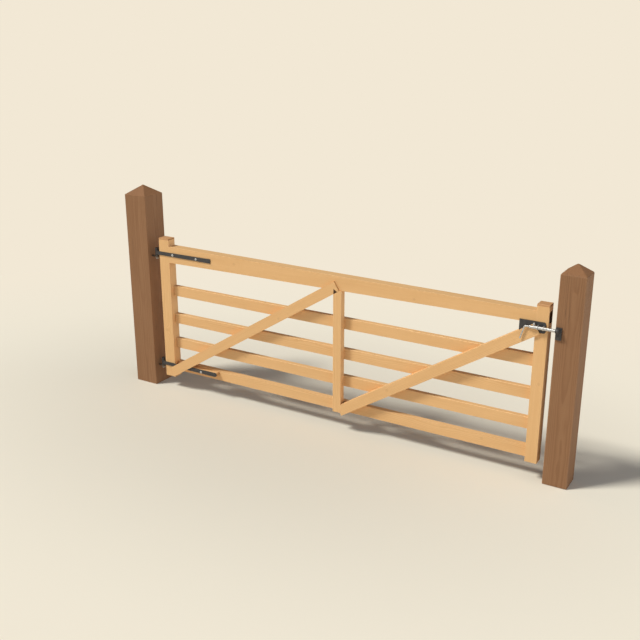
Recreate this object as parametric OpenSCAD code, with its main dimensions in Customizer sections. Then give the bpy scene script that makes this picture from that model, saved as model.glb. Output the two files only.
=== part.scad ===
// Timber field gate with tapered top rail, hung between two square posts.
// Millimetres, +Z up, ground at z = 0, origin at the centre of the hanging
// post's foot, +X towards the clashing post, -Y the side the gate opens to.

/* [Gate frame] */
// Length over the two stiles
gate_length = 3050; // [2700:10:3600]
// Depth of stiles and top rail, front to back
frame_depth = 75; // [70:1:90]
// Width of the hanging stile
hanging_stile_width = 93; // [80:1:110]
// Width of the slam stile
slam_stile_width = 79; // [70:1:100]
// Height of the hanging stile's top
hanging_stile_top = 1225; // [1205:1:1280]
// Height of the slam stile's top
slam_stile_top = 1187; // [1172:1:1225]
// Thickness of the stile caps
cap_thickness = 11; // [8:1:16]

/* [Rails] */
// Level of the top rail's centre line
top_rail_z = 1103; // [1093:1:1113]
// Top rail depth at the heel
top_rail_heel = 126; // [110:1:140]
// Top rail depth at the head
top_rail_head = 77; // [72:1:90]
// Height of each lower rail
rail_height = 80; // [70:1:90]
// Level of the bottom rail's centre line
bottom_rail_z = 183; // [178:1:188]
// Spacing of the third and fourth rails
rail_pitch = 205; // [195:1:210]

/* [Braces] */
// Width of the two braces
brace_width = 75; // [65:1:80]
// How far the braces stand in front of the stiles
brace_proud = 13; // [11:1:16]
// Width of the centre stile
centre_stile_width = 64; // [58:1:74]

/* [Posts] */
// Side of the hanging post
hanging_post_side = 200; // [180:1:220]
// Height of the hanging post's eaves
hanging_post_eaves = 1535; // [1400:5:1600]
// Side of the clashing post
clashing_post_side = 160; // [150:1:170]
// Height of the clashing post's eaves
clashing_post_eaves = 1390; // [1300:5:1500]
// Gap between hanging post and gate
hinge_gap = 95; // [90:1:105]
// Gap between gate and clashing post
latch_gap = 45; // [35:1:55]
// How far the gate hangs forward of the posts' centre line
gate_forward = 41; // [35:1:46]

/* [Ironwork] */
// Width of the hinge straps at their barrels
strap_height = 26; // [24:1:34]
// Width of the hinge straps at their free ends
strap_tip = 32; // [28:1:40]
// Height of the straps' barrels
barrel_height = 60; // [48:2:64]
// Thickness of straps and plates
strap_thickness = 6; // [5:0.5:6]
// Distance of the hinge pins from the hanging post's face
hook_reach = 49; // [47:1:52]
// Diameter of the hinge pins
hinge_pin_d = 18; // [16:1:18]
// Diameter of the latch bolt
latch_bolt_d = 20; // [16:1:22]

/* [Hidden] */
$fn = 48;

// frame positions
half = frame_depth / 2;
y_mid = -gate_forward;
y_front = y_mid - half;
y_back = y_mid + half;
x0 = hanging_post_side / 2 + hinge_gap;
x1 = x0 + hanging_stile_width;
x3 = x0 + gate_length;
x2 = x3 - slam_stile_width;
px = x3 + latch_gap;
stile_foot = 96;
slam_foot = 127;

// rails
second_rail_z = 807;
third_rail_z = bottom_rail_z + 2 * rail_pitch - 11;
fourth_rail_z = bottom_rail_z + rail_pitch - 10;
tenon = 45;
tenon_t = 19;

// centre stile and braces, measured in the gate's plane
cx = x1 + (x2 - x1) * 0.5187;
cx0 = cx - centre_stile_width / 2;
cx1 = cx + centre_stile_width / 2;
brace_front = y_front - brace_proud;
left_a = [x1 - 10, bottom_rail_z - 39];
left_b = [cx - 7, top_rail_z - 19];
right_a = [cx + 20, bottom_rail_z - 24];
right_b = [x2 + 16, top_rail_z - 70];

// hinges: each strap has a leg on either face of the gate, and both are
// welded to a barrel that turns on the hook's pin
top_hinge_z = top_rail_z + 3;
low_hinge_z = bottom_rail_z + 15;
strap_front = y_front - strap_thickness;
strap_back = y_back + strap_thickness;
pin = [hanging_post_side / 2 + hook_reach, y_mid - 11];
pin_r = hinge_pin_d / 2;
eye_bore_r = pin_r + 0.08;
eye_r = eye_bore_r + strap_thickness;
lug_t = 16;
nut_t = 7;
shank_r = 7;
shank_depth = 120;
bolt_xs = [x0 + 134, x0 + 359];
top_strap_end = x0 + 492;
low_strap_end = x0 + 509;

// latch
rod_r = latch_bolt_d / 2;
rod_y = brace_front - rod_r - 1.5;
rod_z = top_rail_z - 59;
bolt_left = x2 - 33;
bolt_right = px + 26;
peg_x = bolt_left + 31;
guide_xs = [x3 - 58, x3 - 22];
handle_r = 5;
handle_run = 17;
handle_bend = 12;
handle_lean = 16;
handle_drop = 79;
seam = 0.02;
keeper_x = px + 6;
keeper_w = 35;
keeper_t = 10;
keeper_low = rod_z - 61;
keeper_top = rod_z + 17;
post_front = -clashing_post_side / 2;

TIMBER = "#dcae74";
POST = "#8a6844";
IRON = "#3c3a3a";
GALV = "#c9c9c4";

// a box from its two opposite corners
module block(a, b) {
  translate(a) cube([b[0] - a[0], b[1] - a[1], b[2] - a[2]]);
}

// a cylinder along Y from y = ya to y = yb
module rod_along_y(x, ya, yb, z, r) {
  translate([x, ya, z]) rotate([-90, 0, 0]) cylinder(r = r, h = yb - ya);
}

// a cylinder along X from x = xa to x = xb
module rod_along_x(xa, xb, y, z, r) {
  translate([xa, y, z]) rotate([0, 90, 0]) cylinder(r = r, h = xb - xa);
}

// a square post with a four-sided point
module pointed_post(side, eaves, rise) {
  a = atan2(rise, side / 2);
  difference() {
    block([-side / 2, -side / 2, 0], [side / 2, side / 2, eaves + rise]);
    for (k = [0:3])
      rotate([0, 0, 90 * k])
        translate([side / 2, -side, eaves])
          rotate([0, a, 0]) translate([-side, 0, 0]) cube([side * 2, side * 2, side]);
  }
}

module hanging_post() {
  color(POST) difference() {
    pointed_post(hanging_post_side, hanging_post_eaves, 70);
    for (z = [top_hinge_z, low_hinge_z])
      hook_shank(z, hanging_post_side / 2 + 1, shank_r + 0.05);
  }
}

module clashing_post() {
  color(POST) translate([px + clashing_post_side / 2, 0, 0])
    pointed_post(clashing_post_side, clashing_post_eaves, 61);
}

// top rail's half depth at position x
function rail_half(x) =
  (top_rail_heel + (top_rail_head - top_rail_heel) * (x - x1) / (x2 - x1)) / 2;

// the space each lower rail's tenons need
module rail_tenons(z) {
  tenon_y = y_mid + half / 2;
  for (span = [[x1 - tenon, x1], [x2, x2 + tenon]])
    block([span[0], tenon_y - tenon_t / 2, z - rail_height / 2 + 10],
          [span[1], tenon_y + tenon_t / 2, z + rail_height / 2 - 10]);
}

module lower_rail(z) {
  block([x1, y_mid, z - rail_height / 2], [x2, y_back, z + rail_height / 2]);
  rail_tenons(z);
}

module all_rail_tenons() {
  for (z = [second_rail_z, third_rail_z, fourth_rail_z, bottom_rail_z])
    rail_tenons(z);
}

// the top rail's stub tenon in the hanging stile
module heel_tenon() {
  block([x1 - 60, y_mid - 12, top_rail_z - 40], [x1, y_mid + 12, top_rail_z + 40]);
}

// the full-height mortice right through the slam stile
module head_mortice() {
  block([x2 - 1, y_mid - 25, top_rail_z - top_rail_head / 2],
        [x3 + 1, y_mid + 32, top_rail_z + top_rail_head / 2]);
}

module hanging_stile() {
  color(TIMBER) difference() {
    block([x0, y_front, stile_foot], [x1, y_back, hanging_stile_top - cap_thickness]);
    all_rail_tenons();
    heel_tenon();
  }
}

module hanging_stile_cap() {
  color(TIMBER)
    block([x0, y_front, hanging_stile_top - cap_thickness], [x1, y_back, hanging_stile_top]);
}

module slam_stile() {
  color(TIMBER) difference() {
    block([x2, y_front, slam_foot], [x3, y_back, slam_stile_top - cap_thickness]);
    all_rail_tenons();
    head_mortice();
  }
}

module slam_stile_cap() {
  color(TIMBER)
    block([x2, y_front, slam_stile_top - cap_thickness], [x3, y_back, slam_stile_top]);
}

module top_rail_body() {
  translate([0, y_back, 0]) rotate([90, 0, 0]) linear_extrude(height = frame_depth)
    polygon([[x1, top_rail_z - top_rail_heel / 2], [x2, top_rail_z - top_rail_head / 2],
             [x2, top_rail_z + top_rail_head / 2], [x1, top_rail_z + top_rail_heel / 2]]);
}

module top_rail() {
  color(TIMBER) difference() {
    union() {
      top_rail_body();
      heel_tenon();
      block([x2, y_mid - 25, top_rail_z - top_rail_head / 2],
            [x3 - 7, y_mid + 32, top_rail_z + top_rail_head / 2]);
    }
    strap_bolt_holes(top_hinge_z - 1, bolt_xs);
  }
}

module second_rail() {
  color(TIMBER) lower_rail(second_rail_z);
}

module third_rail() {
  color(TIMBER) lower_rail(third_rail_z);
}

module fourth_rail() {
  color(TIMBER) lower_rail(fourth_rail_z);
}

module bottom_rail() {
  color(TIMBER) difference() {
    lower_rail(bottom_rail_z);
    strap_bolt_holes(low_hinge_z - 4, [bolt_xs[1]]);
  }
}

// a square-ended brace between two points of the gate's plane
module brace_body(a, b, grow) {
  ang = atan2(b[1] - a[1], b[0] - a[0]);
  len = norm(b - a);
  translate([a[0], 0, a[1]]) rotate([0, -ang, 0])
    block([-grow, brace_front - grow, -brace_width / 2], [len + grow, y_mid + grow, brace_width / 2]);
}

module centre_stile() {
  color(TIMBER) difference() {
    block([cx0, brace_front, bottom_rail_z - 37], [cx1, y_mid, top_rail_z - rail_half(cx1)]);
    brace_body(left_a, left_b, 1);
    top_rail_body();
  }
}

// everything a brace's back is cut away to sit over
module behind_braces() {
  block([x0 - 1, y_front, 0], [x1, y_mid + 1, hanging_stile_top]);
  block([x2, y_front, 0], [x3 + 1, y_mid + 1, hanging_stile_top]);
  top_rail_body();
}

module left_brace() {
  color(TIMBER) difference() {
    brace_body(left_a, left_b, 0);
    behind_braces();
    strap_leg(-1, low_hinge_z, low_strap_end);
  }
}

module right_brace() {
  color(TIMBER) difference() {
    brace_body(right_a, right_b, 0);
    behind_braces();
    block([cx0 - 100, brace_front - 1, 0], [cx1, y_mid + 1, hanging_stile_top]);
    plate_body();
  }
}

// a unit vector at an angle
function unit(a) = [cos(a), sin(a)];

// the side view of a strap, a little wider at its free end
module strap_outline(z, end) {
  translate([0, strap_back + 40, z]) rotate([90, 0, 0]) linear_extrude(height = 200)
    polygon([[pin[0], -strap_height / 2], [x0, -strap_height / 2], [end + 1, -strap_tip / 2],
             [end + 1, strap_tip / 2], [x0, strap_height / 2], [pin[0], strap_height / 2]]);
}

// one leg of a strap: off the barrel at a slant, then flat along the gate's
// front (side = -1) or back (side = 1)
module strap_leg(side, z, end) {
  mid_r = eye_r - strap_thickness / 2 - 0.4;
  t = strap_thickness / 2;
  bend = [x0 - 5, y_mid + side * (half + t)];
  arm = bend - pin;
  touch = atan2(arm[1], arm[0]) + side * acos(mid_r / norm(arm));
  start = pin + mid_r * unit(touch);
  slant = touch - side * 90;
  mitre = t / cos(slant / 2);
  intersection() {
    translate([0, 0, z - strap_tip]) linear_extrude(height = strap_tip * 2)
      polygon([start + t * unit(slant + 90), bend + mitre * unit(slant / 2 + 90), [end, bend[1] + t],
               [end, bend[1] - t], bend - mitre * unit(slant / 2 + 90), start - t * unit(slant + 90)]);
    strap_outline(z, end);
  }
}

module strap_bolt_holes(z, xs) {
  for (x = xs) rod_along_y(x, strap_front - 20, strap_back + 20, z, 5.05);
}

// both legs of a strap with their barrel
module strap(z, end, bolt_z, xs) {
  difference() {
    union() {
      strap_leg(-1, z, end);
      strap_leg(1, z, end);
      translate([pin[0], pin[1], z - barrel_height / 2]) cylinder(r = eye_r, h = barrel_height);
    }
    translate([pin[0], pin[1], z - barrel_height])
      cylinder(r = eye_bore_r, h = barrel_height * 2);
    strap_bolt_holes(bolt_z, xs);
  }
}

module top_strap() {
  color(IRON) strap(top_hinge_z, top_strap_end, top_hinge_z - 1, bolt_xs);
}

module bottom_strap() {
  color(IRON) difference() {
    strap(low_hinge_z, low_strap_end, low_hinge_z - 4, [bolt_xs[1]]);
    strap_end_round();
  }
}

// takes the corners off the bottom strap's free ends
module strap_end_round() {
  r = strap_tip / 2;
  difference() {
    block([low_strap_end - r, strap_front - 10, low_hinge_z - r - 1],
          [low_strap_end + 1, strap_back + 10, low_hinge_z + r + 1]);
    rod_along_y(low_strap_end - r, strap_front - 11, strap_back + 11, low_hinge_z, r);
  }
}

module strap_packer() {
  color(TIMBER) difference() {
    block([x1 + 60, y_front, low_hinge_z - strap_tip / 2],
          [low_strap_end, y_mid, low_hinge_z + strap_tip / 2]);
    brace_body(left_a, left_b, 1);
    strap_end_round();
    strap_bolt_holes(low_hinge_z - 4, [bolt_xs[1]]);
  }
}

// a cup-headed bolt through both legs and the timber, with washer and nut
module strap_bolt(x, z) {
  rod_along_y(x, strap_front, strap_back + 14, z, 5);
  translate([x, strap_front, z]) rotate([90, 0, 0]) rotate_extrude()
    polygon([[0, 0], [10, 0], [10, 1.5], [8.8, 3.3], [6, 4.6], [0, 5.4]]);
  rod_along_y(x, strap_back, strap_back + 2, z, 13);
  translate([x, strap_back + 2, z]) rotate([-90, 0, 0]) cylinder(r = 9.2, h = 8, $fn = 6);
}

module top_strap_bolts() {
  color(GALV) for (x = bolt_xs) strap_bolt(x, top_hinge_z - 1);
}

module bottom_strap_bolt() {
  color(GALV) strap_bolt(bolt_xs[1], low_hinge_z - 4);
}

// the straight shank that a hook is driven into the hanging post by
module hook_shank(z, end, r) {
  rod_along_x(hanging_post_side / 2 - shank_depth, end, pin[1], hook_lug_top(z) - lug_t / 2, r);
}

function hook_lug_top(z) = z - barrel_height / 2 - 1;

// shank, lug and upright pin of a hook, the pin's threaded end below the lug
module hook(z) {
  top = z + barrel_height / 2 - 2;
  low = hook_lug_top(z) - lug_t;
  hook_shank(z, pin[0], shank_r);
  translate([pin[0], pin[1], 0]) {
    translate([0, 0, low]) cylinder(r = eye_r, h = lug_t);
    translate([0, 0, low - 14]) cylinder(r = 6, h = 15);
    translate([0, 0, hook_lug_top(z) - 1]) cylinder(r = pin_r, h = top - 3 - hook_lug_top(z) + 1);
    translate([0, 0, top - 3]) cylinder(r1 = pin_r, r2 = pin_r - 3, h = 3);
  }
}

module top_hook() {
  color(GALV) hook(top_hinge_z);
}

module bottom_hook() {
  color(GALV) hook(low_hinge_z);
}

module hook_nuts() {
  color(GALV) for (z = [top_hinge_z, low_hinge_z])
    translate([pin[0], pin[1], hook_lug_top(z) - lug_t - nut_t]) difference() {
      cylinder(r = 12, h = nut_t, $fn = 6);
      translate([0, 0, -1]) cylinder(r = 6.05, h = nut_t + 2);
    }
}

// latch plate on the slam stile, its free end with two rounded corners
module plate_body() {
  r = 12;
  low = rod_z - 37;
  high = rod_z + 33;
  block([x2 - 100, strap_front, low], [x3 - 13 - r, y_front, high]);
  block([x3 - 14 - r, strap_front, low + r], [x3 - 13, y_front, high - r]);
  for (z = [low + r, high - r]) rod_along_y(x3 - 13 - r, strap_front, y_front, z, r);
}

module latch_plate() {
  color(IRON) difference() {
    plate_body();
    for (p = screw_points) rod_along_y(p[0], strap_front - 1, y_front + 1, p[1], 3.05);
  }
}

screw_points = [[x2 - 84, rod_z + 19], [x3 - 40, rod_z + 23], [x3 - 40, rod_z - 27]];

module latch_screws() {
  color(IRON) for (p = screw_points) {
    rod_along_y(p[0], strap_front, y_front, p[1], 3);
    rod_along_y(p[0], strap_front - 1.5, strap_front, p[1], 6);
  }
}

module latch_guides() {
  color(GALV) for (x = guide_xs) difference() {
    union() {
      block([x - 3, rod_y, rod_z - rod_r - 3], [x + 3, strap_front, rod_z + rod_r + 3]);
      rod_along_x(x - 3, x + 3, rod_y, rod_z, rod_r + 3);
    }
    rod_along_x(x - 4, x + 4, rod_y, rod_z, rod_r + 0.1);
  }
}

// the sliding bolt, with a peg on top to push it by
module latch_bolt() {
  color(GALV) {
    rod_along_x(bolt_left + 3, bolt_right - 3, rod_y, rod_z, rod_r);
    translate([bolt_left + 3, rod_y, rod_z]) rotate([0, -90, 0])
      cylinder(r1 = rod_r, r2 = rod_r - 3, h = 3);
    translate([bolt_right - 3, rod_y, rod_z]) rotate([0, 90, 0])
      cylinder(r1 = rod_r, r2 = rod_r - 3, h = 3);
    translate([peg_x, rod_y, rod_z]) cylinder(r = 6, h = rod_r + 13);
    translate([peg_x, rod_y, rod_z + rod_r + 13]) cylinder(r1 = 6, r2 = 3, h = 6);
  }
}

// a thin rod that leaves the bolt's end, bends and hangs down
module latch_handle() {
  color(GALV) {
    rod_along_x(bolt_left - handle_run, bolt_left, rod_y, rod_z, handle_r);
    translate([bolt_left - handle_run, rod_y, rod_z - handle_bend]) rotate([90, 0, 0]) {
      rotate([0, 0, 90]) rotate_extrude(angle = 90 - handle_lean)
        translate([handle_bend, 0]) circle(r = handle_r);
      rotate([0, 0, 180 - handle_lean]) translate([handle_bend, -seam, 0])
        rotate([-90, 0, 0]) cylinder(r = handle_r, h = handle_drop);
    }
  }
}

// a plate on the clashing post with a cup for the bolt's end
module keeper() {
  cup_x = keeper_x + 2;
  cup_len = 22;
  cup_r = rod_r + 5;
  color(IRON) difference() {
    union() {
      block([keeper_x, post_front - keeper_t, keeper_low], [keeper_x + keeper_w, post_front, keeper_top]);
      block([cup_x, rod_y, rod_z - cup_r], [cup_x + cup_len, post_front, rod_z + cup_r]);
      rod_along_x(cup_x, cup_x + cup_len, rod_y, rod_z, cup_r);
    }
    rod_along_x(cup_x - 1, cup_x + cup_len - 3, rod_y, rod_z, rod_r + 1.5);
    keeper_screw(4.05, post_front - keeper_t - 1, post_front + 1);
  }
}

module keeper_screw(r, ya, yb) {
  rod_along_y(keeper_x + keeper_w / 2, ya, yb, keeper_low + 18, r);
}

module keeper_screws() {
  color(IRON) {
    keeper_screw(4, post_front - keeper_t, post_front);
    keeper_screw(7, post_front - keeper_t - 2, post_front - keeper_t);
  }
}

hanging_post();
clashing_post();
top_hook();
bottom_hook();
hook_nuts();
keeper();
keeper_screws();
hanging_stile();
hanging_stile_cap();
slam_stile();
slam_stile_cap();
top_rail();
second_rail();
third_rail();
fourth_rail();
bottom_rail();
centre_stile();
left_brace();
right_brace();
top_strap();
bottom_strap();
strap_packer();
top_strap_bolts();
bottom_strap_bolt();
latch_plate();
latch_guides();
latch_screws();
latch_bolt();
latch_handle();
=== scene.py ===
"""A timber field gate between its two square posts, on a pale studio floor."""

import math

import bmesh
import bpy
from mathutils import Euler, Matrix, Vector


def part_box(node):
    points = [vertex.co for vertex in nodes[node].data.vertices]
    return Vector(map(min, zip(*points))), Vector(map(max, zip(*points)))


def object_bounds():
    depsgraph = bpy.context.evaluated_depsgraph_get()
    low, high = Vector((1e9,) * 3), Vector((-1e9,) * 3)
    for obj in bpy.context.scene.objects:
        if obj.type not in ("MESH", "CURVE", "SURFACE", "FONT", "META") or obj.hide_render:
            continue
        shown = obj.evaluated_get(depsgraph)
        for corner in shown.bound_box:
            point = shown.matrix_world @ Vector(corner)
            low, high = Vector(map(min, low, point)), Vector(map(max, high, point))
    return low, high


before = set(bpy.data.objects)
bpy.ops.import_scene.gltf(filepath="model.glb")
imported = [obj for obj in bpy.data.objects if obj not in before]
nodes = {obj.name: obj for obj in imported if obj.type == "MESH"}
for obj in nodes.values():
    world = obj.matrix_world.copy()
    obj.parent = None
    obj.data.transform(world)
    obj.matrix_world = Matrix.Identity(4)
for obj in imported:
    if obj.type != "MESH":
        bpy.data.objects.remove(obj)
cad_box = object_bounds()


# ---------------------------------------------------------------- shader helpers


def new_material(name):
    mat = bpy.data.materials.new(name)
    mat.use_nodes = True
    mat.node_tree.nodes.clear()
    return mat, mat.node_tree


def node(tree, kind, inputs=None, **props):
    """A shader node with its settings, and its inputs as values or links."""
    made = tree.nodes.new(kind)
    for key, value in props.items():
        setattr(made, key, value)
    for key, value in (inputs or {}).items():
        if isinstance(value, bpy.types.NodeSocket):
            tree.links.new(value, made.inputs[key])
        else:
            made.inputs[key].default_value = value
    return made


def maths(tree, operation, a, b=0.0, c=0.0, clamp=False):
    settings = {0: a, 1: b, 2: c}
    return node(tree, "ShaderNodeMath", settings, operation=operation, use_clamp=clamp).outputs[0]


def span(tree, value, low, high, out_low=0.0, out_high=1.0):
    """Carries a value smoothly from one range to another, held at both ends."""
    settings = {"Value": value, "From Min": low, "From Max": high, "To Min": out_low, "To Max": out_high}
    return node(tree, "ShaderNodeMapRange", settings, interpolation_type="SMOOTHSTEP").outputs[0]


def blend(tree, factor, a, b, how="MIX"):
    """Mixes colour b over colour a."""
    mix = node(tree, "ShaderNodeMix", data_type="RGBA", blend_type=how)
    for key, value in ((0, factor), (6, a), (7, b)):
        if isinstance(value, bpy.types.NodeSocket):
            tree.links.new(value, mix.inputs[key])
        else:
            mix.inputs[key].default_value = value
    return mix.outputs[2]


def noise(tree, place, scale, detail=2.0, rough=0.5):
    """Noise with its own scale along each axis."""
    scaled = node(tree, "ShaderNodeMapping", {"Vector": place, "Scale": scale}).outputs[0]
    settings = {"Vector": scaled, "Scale": 1.0, "Detail": detail, "Roughness": rough}
    return node(tree, "ShaderNodeTexNoise", settings).outputs["Fac"]


def paint_card(r, g, b):
    """A colour as a paint card gives it, made linear."""
    def linear(v):
        v /= 255.0
        return v / 12.92 if v <= 0.04045 else ((v + 0.055) / 1.055) ** 2.4

    return (linear(r), linear(g), linear(b), 1.0)


def dress(obj, mat):
    obj.data.materials.clear()
    obj.data.materials.append(mat)


# ---------------------------------------------------------------- timber

UPRIGHT = Euler((0.0, math.radians(90), 0.0))
LEVEL = Euler((0.0, 0.0, 0.0))


def climbing(degrees):
    """The turn for a board that climbs to the right."""
    return Euler((0.0, math.radians(degrees), 0.0))


def knot_field(tree, along, across, knots):
    """Dark middles of the knots, and how far they push the growth rings aside."""
    core, push = 0.0, 0.0
    for place, height, radius, strength in knots:
        dx = maths(tree, "DIVIDE", maths(tree, "SUBTRACT", along, place), radius * 1.25)
        dz = maths(tree, "DIVIDE", maths(tree, "SUBTRACT", across, height), radius)
        square = maths(tree, "ADD", maths(tree, "MULTIPLY", dx, dx), maths(tree, "MULTIPLY", dz, dz))
        core = maths(tree, "MAXIMUM", core, span(tree, square, 0.3, 1.2, strength, 0.0))
        fall = maths(tree, "EXPONENT", maths(tree, "MULTIPLY", square, -0.16))
        push = maths(tree, "MULTIPLY_ADD", fall, radius * 1.1, push)
    return core, push


def late_wood(tree, place, sample, pith, ring, push):
    """The dark part of each year's ring, round a pith seen from the board's own middle."""
    sway = maths(tree, "MULTIPLY_ADD", noise(tree, sample, (1.3, 7.0, 7.0), 3.0), 0.034, -0.017)
    deep = maths(tree, "ADD", maths(tree, "SUBTRACT", place.outputs[1], pith[0]), sway)
    wide = maths(tree, "ADD", maths(tree, "SUBTRACT", place.outputs[2], pith[1]), sway)
    square = maths(tree, "ADD", maths(tree, "MULTIPLY", deep, deep), maths(tree, "MULTIPLY", wide, wide))
    radius = maths(tree, "ADD", maths(tree, "SQRT", square), push)
    year = maths(tree, "FRACT", maths(tree, "DIVIDE", radius, ring))
    return maths(tree, "MULTIPLY", span(tree, year, 0.25, 0.85), span(tree, year, 0.9, 1.0, 1.0, 0.0))


def box_mask(tree, coords, box, edge=0.0005):
    """1 inside a box of (start, stop) along X, Y and Z, and 0 outside."""
    spot = node(tree, "ShaderNodeSeparateXYZ", {0: coords})
    inside = 1.0
    for axis, (start, stop) in enumerate(box):
        place = spot.outputs[axis]
        inside = maths(tree, "MULTIPLY", inside, span(tree, place, start - edge, start + edge))
        inside = maths(tree, "MULTIPLY", inside, span(tree, place, stop - edge, stop + edge, 1.0, 0.0))
    return inside


def wedge_mask(tree, coords, wedge, edge=0.0005):
    """1 inside a wedge seen from the front, with an upright left side and its tip to the right."""
    left, tip, level, half = wedge
    spot = node(tree, "ShaderNodeSeparateXYZ", {0: coords})
    slope = half / (tip - left)
    rise = maths(tree, "ABSOLUTE", maths(tree, "SUBTRACT", spot.outputs[2], level))
    past_tip = maths(tree, "SUBTRACT", spot.outputs[0], tip)
    over = maths(tree, "ADD", rise, maths(tree, "MULTIPLY", past_tip, slope))
    inside = span(tree, over, -2.0 * edge, 2.0 * edge, 1.0, 0.0)
    return maths(tree, "MULTIPLY", inside, span(tree, spot.outputs[0], left - edge, left + edge))


def drying_checks(tree, sample, depth):
    """Long thin cracks, here and there along a post."""
    crack = noise(tree, sample, (0.5, 42.0, 42.0), 0.0)
    crack = maths(tree, "ABSOLUTE", maths(tree, "SUBTRACT", crack, 0.5))
    here = span(tree, noise(tree, sample, (2.2, 8.0, 8.0), 1.0), 0.54, 0.64)
    crack = maths(tree, "MULTIPLY", span(tree, crack, 0.003, 0.011, 1.0, 0.0), here)
    return maths(tree, "MULTIPLY", crack, depth)


def timber(name, box, turn, pith, ring, pale, dark, knots=(), seed=0.0, end=0.78, checks=0.0,
           rough=0.6, mortice_shade=(), shade_wedge=()):
    """Sawn softwood. turn brings the board's length to X, and pith is the tree's middle as seen
    from the board's own middle, across its thickness and its width. ring is a year's growth, end
    how dark the end grain is and checks how deep the drying cracks are."""
    mat, tree = new_material(name)
    low, high = box
    middle = turn.to_matrix() @ ((Vector(low) + Vector(high)) / 2)
    coords = node(tree, "ShaderNodeTexCoord")
    local = node(
        tree,
        "ShaderNodeMapping",
        {"Vector": coords.outputs["Object"], "Rotation": turn, "Location": -middle},
    ).outputs[0]
    place = node(tree, "ShaderNodeSeparateXYZ", {0: local})
    turned = node(
        tree,
        "ShaderNodeMapping",
        {"Vector": coords.outputs["Normal"], "Rotation": turn},
        vector_type="NORMAL",
    ).outputs[0]
    facing = node(tree, "ShaderNodeSeparateXYZ", {0: turned})
    sample = node(tree, "ShaderNodeVectorMath", {0: local, 1: (seed * 3.7, seed, 0.0)}).outputs[0]

    # growth rings, fibres and the slow change of tone along a board
    core, push = knot_field(tree, place.outputs[0], place.outputs[2], knots)
    late = late_wood(tree, place, sample, pith, ring, push)
    fibre = noise(tree, sample, (16.0, 620.0, 620.0), 4.0, 0.65)
    streak = noise(tree, sample, (3.0, 95.0, 95.0), 3.0)
    cloud = noise(tree, sample, (2.0, 14.0, 14.0))
    tone = maths(tree, "MULTIPLY", late, 0.38)
    tone = maths(tree, "MULTIPLY_ADD", fibre, 0.55, tone)
    tone = maths(tree, "MULTIPLY_ADD", streak, 0.45, tone)
    tone = maths(tree, "MULTIPLY_ADD", cloud, 0.5, tone)
    tone = maths(tree, "SUBTRACT", tone, 0.42, clamp=True)
    colour = blend(tree, tone, pale, dark)

    # knots, end grain, and long corners rubbed pale
    heart_wood = tuple(v * k for v, k in zip(dark[:3], (0.3, 0.2, 0.14))) + (1.0,)
    if knots:
        colour = blend(tree, core, colour, heart_wood)
    cut = span(tree, maths(tree, "ABSOLUTE", facing.outputs[0]), 0.45, 0.8)
    colour = blend(tree, cut, colour, (end, end * 0.94, end * 0.87, 1.0), "MULTIPLY")
    corner = maths(tree, "ABSOLUTE", maths(tree, "MULTIPLY", facing.outputs[1], facing.outputs[2]))
    rubbed = tuple(min(1.0, v * k) for v, k in zip(pale[:3], (1.1, 1.16, 1.25))) + (1.0,)
    colour = blend(tree, maths(tree, "MULTIPLY", span(tree, corner, 0.08, 0.3), 0.6), colour, rubbed)

    # painted shade in the mortice and in the wedge at the brace's tip, and the surface's own height
    if mortice_shade:
        colour = blend(tree, box_mask(tree, coords.outputs["Object"], mortice_shade), colour, PAINTED_SHADE)
    # painted shade: the dark wedge in the left brace's tip
    if shade_wedge:
        colour = blend(tree, wedge_mask(tree, coords.outputs["Object"], shade_wedge), colour, PAINTED_SHADE)
    height = maths(tree, "MULTIPLY_ADD", late, 0.35, maths(tree, "MULTIPLY", fibre, 0.8))
    if checks:
        crack = drying_checks(tree, sample, checks)
        colour = blend(tree, crack, colour, CRACK)
        height = maths(tree, "MULTIPLY_ADD", crack, -2.0, height)
    bump = node(tree, "ShaderNodeBump", {"Strength": 0.3, "Distance": 0.0004, "Height": height})
    shader = node(
        tree,
        "ShaderNodeBsdfPrincipled",
        {
            "Base Color": colour,
            "Roughness": maths(tree, "MULTIPLY_ADD", fibre, 0.2, rough - 0.1),
            "Specular IOR Level": 0.25,
            "Normal": bump.outputs[0],
        },
    )
    node(tree, "ShaderNodeOutputMaterial", {"Surface": shader.outputs[0]})
    return mat


# a dark brown painted where shade falls: deep in the slam stile's mortice and in the gap at the left
# brace's tip
PAINTED_SHADE = paint_card(74, 50, 30)
CRACK = (0.035, 0.022, 0.014, 1.0)
GATE_PALE = paint_card(237, 192, 138)
GATE_DARK = paint_card(216, 167, 110)
CAP_PALE = paint_card(214, 164, 116)
CAP_DARK = paint_card(190, 138, 92)
POST_PALE = paint_card(156, 116, 83)
POST_DARK = paint_card(133, 94, 64)

# turn, pith, ring width, and knots as place along, place across, radius and darkness
BOARDS = {
    "top_rail": (LEVEL, (0.05, 0.16), 0.0056, ((-0.83, 0.012, 0.012, 0.12), (0.62, -0.02, 0.010, 0.11))),
    "second_rail": (LEVEL, (-0.06, -0.07), 0.0048, ((-0.42, 0.014, 0.011, 0.11),)),
    "third_rail": (LEVEL, (0.08, 0.05), 0.0052, ((0.71, -0.012, 0.012, 0.12),)),
    "fourth_rail": (LEVEL, (-0.05, -0.09), 0.0046, ((-0.77, 0.01, 0.010, 0.11),)),
    "bottom_rail": (LEVEL, (0.07, 0.06), 0.0054, ((1.13, 0.012, 0.011, 0.11),)),
    "hanging_stile": (UPRIGHT, (0.09, 0.06), 0.0052, ((-0.17, 0.018, 0.012, 0.11),)),
    "slam_stile": (UPRIGHT, (-0.08, -0.07), 0.0055, ((0.02, -0.012, 0.010, 0.11),)),
    "centre_stile": (UPRIGHT, (0.07, 0.05), 0.0048, ()),
    "left_brace": (
        climbing(32.1), (-0.06, 0.07), 0.0050, ((0.31, -0.012, 0.010, 0.11),),
    ),
    "right_brace": (climbing(32.3), (0.06, -0.06), 0.0054, ((-0.38, 0.014, 0.011, 0.12),)),
    "strap_packer": (LEVEL, (0.06, 0.06), 0.0052, ()),
}
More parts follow.
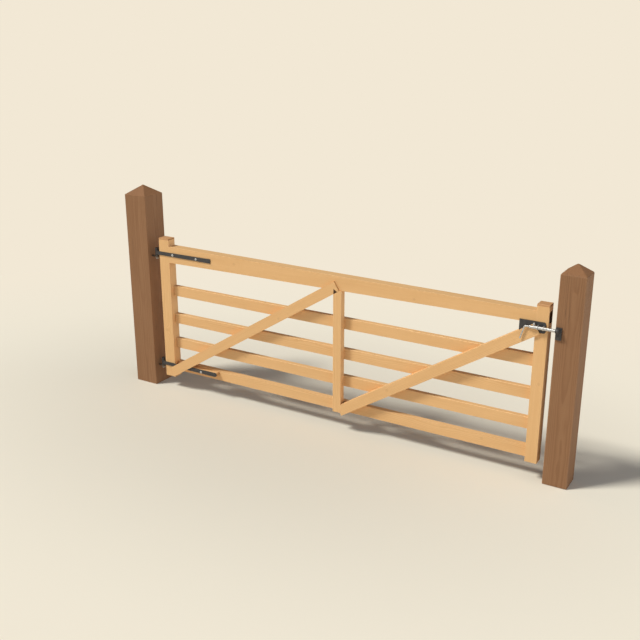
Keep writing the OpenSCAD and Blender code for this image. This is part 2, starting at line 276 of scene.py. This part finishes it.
# the top rail's tenon stops short in its mortice through the slam stile, and both are painted dark there
# as the shade deep in that hole
MORTICE_HALF = 0.041
MORTICE_DEEP = 0.02
slam_low, slam_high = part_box("slam_stile")
rail_low, rail_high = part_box("top_rail")
rail_middle = (rail_low[2] + rail_high[2]) / 2
MORTICE_SHADE = (
    (slam_high[0] - MORTICE_DEEP, slam_high[0] - 0.0008),
    (slam_low[1] + 0.011, slam_high[1] - 0.004),
    (rail_middle - MORTICE_HALF, rail_middle + MORTICE_HALF),
)
# a small wedge of painted shade in the left brace's tip, where its end stands in shadow by the centre
# stile: its left side, its tip, its middle and half its height
centre_low, centre_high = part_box("centre_stile")
SHADE_WEDGE = (centre_low[0] + 0.003, centre_low[0] + 0.034, centre_high[2] - 0.009, 0.019)
for seed, (name, (turn, pith, ring, knots)) in enumerate(BOARDS.items()):
    wood = timber(
        name + "_wood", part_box(name), turn, pith, ring, GATE_PALE, GATE_DARK, knots, seed,
        mortice_shade=MORTICE_SHADE if name in ("slam_stile", "top_rail") else (),
        shade_wedge=SHADE_WEDGE if name == "left_brace" else (),
    )
    dress(nodes[name], wood)
CAPS = ("hanging_stile_cap", "slam_stile_cap")
for seed, name in enumerate(CAPS):
    wood = timber(name + "_wood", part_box(name), LEVEL, (0.03, 0.04), 0.005, CAP_PALE, CAP_DARK, (), seed)
    dress(nodes[name], wood)
POSTS = ("hanging_post", "clashing_post")
for seed, name in enumerate(POSTS):
    wood = timber(
        name + "_wood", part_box(name), UPRIGHT, (0.012, -0.018), 0.006, POST_PALE, POST_DARK,
        seed=seed, end=1.0, checks=0.38, rough=0.7,
    )
    dress(nodes[name], wood)


# ---------------------------------------------------------------- ironwork


def black_iron():
    """Satin black paint on forged iron, dusty and chipped here and there."""
    mat, tree = new_material("black_iron")
    place = node(tree, "ShaderNodeTexCoord").outputs["Object"]
    dust = noise(tree, place, (45.0, 45.0, 45.0), 4.0, 0.6)
    skin = noise(tree, place, (700.0, 700.0, 700.0))
    chips = span(tree, noise(tree, place, (190.0, 190.0, 190.0), 3.0, 0.7), 0.66, 0.7)
    colour = blend(tree, span(tree, dust, 0.3, 0.75), paint_card(51, 50, 51), paint_card(69, 67, 66))
    colour = blend(tree, chips, colour, paint_card(112, 106, 100))
    bump = node(tree, "ShaderNodeBump", {"Strength": 0.3, "Distance": 0.0002, "Height": skin})
    shader = node(
        tree,
        "ShaderNodeBsdfPrincipled",
        {
            "Base Color": colour,
            "Metallic": maths(tree, "MULTIPLY", chips, 0.6),
            "Roughness": maths(tree, "MULTIPLY_ADD", dust, 0.25, 0.38),
            "Normal": bump.outputs[0],
        },
    )
    node(tree, "ShaderNodeOutputMaterial", {"Surface": shader.outputs[0]})
    return mat


def galvanised(name, pale, dark, rough):
    """Galvanised steel with its crystal spangle."""
    mat, tree = new_material(name)
    place = node(tree, "ShaderNodeTexCoord").outputs["Object"]
    spangle = node(tree, "ShaderNodeTexVoronoi", {"Vector": place, "Scale": 170.0}).outputs["Color"]
    crystal = node(tree, "ShaderNodeSeparateColor", {0: spangle}).outputs[0]
    cloud = noise(tree, place, (60.0, 60.0, 60.0), 3.0)
    skin = noise(tree, place, (800.0, 800.0, 800.0))
    mixed = maths(tree, "MULTIPLY_ADD", crystal, 0.6, maths(tree, "MULTIPLY", cloud, 0.4))
    colour = blend(tree, mixed, pale, dark)
    bump = node(tree, "ShaderNodeBump", {"Strength": 0.15, "Distance": 0.0002, "Height": skin})
    shader = node(
        tree,
        "ShaderNodeBsdfPrincipled",
        {
            "Base Color": colour,
            "Metallic": 0.75,
            "Roughness": maths(tree, "MULTIPLY_ADD", mixed, 0.18, rough),
            "Normal": bump.outputs[0],
        },
    )
    node(tree, "ShaderNodeOutputMaterial", {"Surface": shader.outputs[0]})
    return mat


IRON = ("keeper", "keeper_screws", "top_strap", "bottom_strap", "latch_plate", "latch_screws")
HOOKS = ("top_hook", "bottom_hook")
BRIGHT = (
    "hook_nuts", "top_strap_bolts", "bottom_strap_bolt", "latch_guides", "latch_bolt", "latch_handle",
)
iron = black_iron()
# the hooks' zinc is darkened and browned as painted shade and a painted reflection of the brown post
# beside them
shade_browned_zinc = galvanised("shade_browned_zinc", paint_card(126, 115, 104), paint_card(98, 85, 74), 0.5)
new_zinc = galvanised("new_zinc", paint_card(207, 206, 204), paint_card(187, 186, 184), 0.36)
for names, mat in ((IRON, iron), (HOOKS, shade_browned_zinc), (BRIGHT, new_zinc)):
    for name in names:
        dress(nodes[name], mat)


# ---------------------------------------------------------------- eased corners


def ease(obj, width, segments=2, hold=True):
    """Welds the mesh, joins its flat faces and takes its sharp corners off. hold keeps the
    whole width down to what its shortest edge has room for."""
    weld = obj.modifiers.new("close", "WELD")
    weld.merge_threshold = 0.00002
    flat = obj.modifiers.new("flatten", "DECIMATE")
    flat.decimate_type = "DISSOLVE"
    flat.angle_limit = math.radians(0.5)
    bevel = obj.modifiers.new("ease", "BEVEL")
    bevel.width = width
    bevel.segments = segments
    bevel.limit_method = "ANGLE"
    bevel.angle_limit = math.radians(40)
    bevel.use_clamp_overlap = hold


# the centre stile's notch round the brace's tip has short edges, which would hold its corners sharp
for name in BOARDS:
    ease(nodes[name], 0.0025, hold=name != "centre_stile")
for name in CAPS:
    ease(nodes[name], 0.0015)
for name in POSTS:
    ease(nodes[name], 0.006, 3)
for name in ("keeper", "latch_plate", "top_strap", "bottom_strap"):
    ease(nodes[name], 0.0008)


# ---------------------------------------------------------------- floor and light

BACKDROP = paint_card(242, 232, 213)
# near the gate the floor's colour is darker, as painted shade round it
PAINT_NEAR_SHADED = (0.728, 0.68, 0.588, 1.0)
PAINT_FAR = (0.922, 0.85, 0.725, 1.0)


def bearing(azimuth, height):
    """A direction from its compass bearing, from +X towards +Y, and its height, in degrees."""
    turn, rise = math.radians(azimuth), math.radians(height)
    return Vector((math.cos(turn) * math.cos(rise), math.sin(turn) * math.cos(rise), math.sin(rise)))


# soft boxes: bearing, height, how narrow, strength and colour
SOFT_BOXES = (
    (0, 3, 3.4, 1.55, (0.90, 0.93, 1.0)),
    (-122, 14, 2.6, 0.38, (1.0, 0.98, 1.0)),
    (-60, 12, 2.4, 0.15, (0.4, 0.7, 1.0)),
    (95, 2, 3.4, 0.26, (1.0, 0.98, 0.96)),
)
EVEN_LIGHT = 0.045
KEY_BEARING = 221
KEY_HEIGHT = 51

world = bpy.data.worlds.new("studio")
bpy.context.scene.world = world
world.use_nodes = True
tree = world.node_tree
tree.nodes.clear()
looking = node(tree, "ShaderNodeTexCoord").outputs["Generated"]
glow = (EVEN_LIGHT, EVEN_LIGHT, EVEN_LIGHT, 1.0)
for azimuth, height, narrow, strength, tint in SOFT_BOXES:
    towards = node(
        tree, "ShaderNodeVectorMath", {0: looking, 1: bearing(azimuth, height)}, operation="DOT_PRODUCT"
    ).outputs["Value"]
    amount = maths(tree, "POWER", maths(tree, "MAXIMUM", towards, 0.0), narrow)
    light = tuple(strength * c for c in tint) + (1.0,)
    glow = blend(tree, amount, glow, light, "ADD")
room = node(tree, "ShaderNodeBackground", {"Color": glow, "Strength": 1.0})
seen = node(tree, "ShaderNodeBackground", {"Color": BACKDROP, "Strength": 1.0})
which = node(tree, "ShaderNodeLightPath").outputs["Is Camera Ray"]
both = node(tree, "ShaderNodeMixShader", {0: which, 1: room.outputs[0], 2: seen.outputs[0]})
node(tree, "ShaderNodeOutputWorld", {"Surface": both.outputs[0]})

key = bpy.data.lights.new("key", "SUN")
key.energy = 2.76
key.angle = math.radians(13)
key.color = (1.0, 0.995, 0.93)
lamp = bpy.data.objects.new("key", key)
lamp.rotation_euler = bearing(KEY_BEARING, KEY_HEIGHT).to_track_quat("Z", "Y").to_euler()
bpy.context.scene.collection.objects.link(lamp)


def floor_paint():
    """Pale paint with painted shade round the gate, running out into the backdrop's own colour."""
    mat, tree = new_material("floor_paint")
    place = node(tree, "ShaderNodeTexCoord").outputs["Object"]
    middle = (cad_box[0][0] + cad_box[1][0]) / 2
    shade_pool = node(
        tree,
        "ShaderNodeMapping",
        {"Vector": place, "Location": (middle - 0.19, -0.15, 0.0), "Scale": (2.34, 1.57, 1.0)},
        vector_type="TEXTURE",
    ).outputs[0]
    away = node(tree, "ShaderNodeVectorMath", {0: shade_pool}, operation="LENGTH").outputs["Value"]
    colour = blend(tree, span(tree, away, 0.15, 1.65), PAINT_NEAR_SHADED, PAINT_FAR)
    paint = node(
        tree,
        "ShaderNodeBsdfPrincipled",
        {"Base Color": colour, "Roughness": 0.9, "Specular IOR Level": 0.0},
    )
    shine = node(tree, "ShaderNodeEmission", {"Color": BACKDROP, "Strength": 1.0})
    out = span(tree, away, 1.3, 2.4)
    both = node(tree, "ShaderNodeMixShader", {0: out, 1: paint.outputs[0], 2: shine.outputs[0]})
    node(tree, "ShaderNodeOutputMaterial", {"Surface": both.outputs[0]})
    return mat


FLOOR_RADIUS = 60.0
disc = bmesh.new()
bmesh.ops.create_circle(disc, cap_ends=True, segments=96, radius=FLOOR_RADIUS)
mesh = bpy.data.meshes.new("floor")
disc.to_mesh(mesh)
disc.free()
floor = bpy.data.objects.new("floor", mesh)
bpy.context.scene.collection.objects.link(floor)
floor.data.materials.append(floor_paint())


# ---------------------------------------------------------------- camera

LOOK_DOWN = 18.84
LOOK_LEFT = 31.07
eye = bpy.data.cameras.new("camera")
eye.lens = 50.0
eye.sensor_width = 36.0
camera = bpy.data.objects.new("camera", eye)
camera.location = (4.6786, -5.1267, 2.8253)
camera.rotation_euler = (math.radians(90 - LOOK_DOWN), 0.0, math.radians(LOOK_LEFT))
bpy.context.scene.collection.objects.link(camera)
bpy.context.scene.camera = camera
bpy.context.scene.view_settings.view_transform = "Standard"
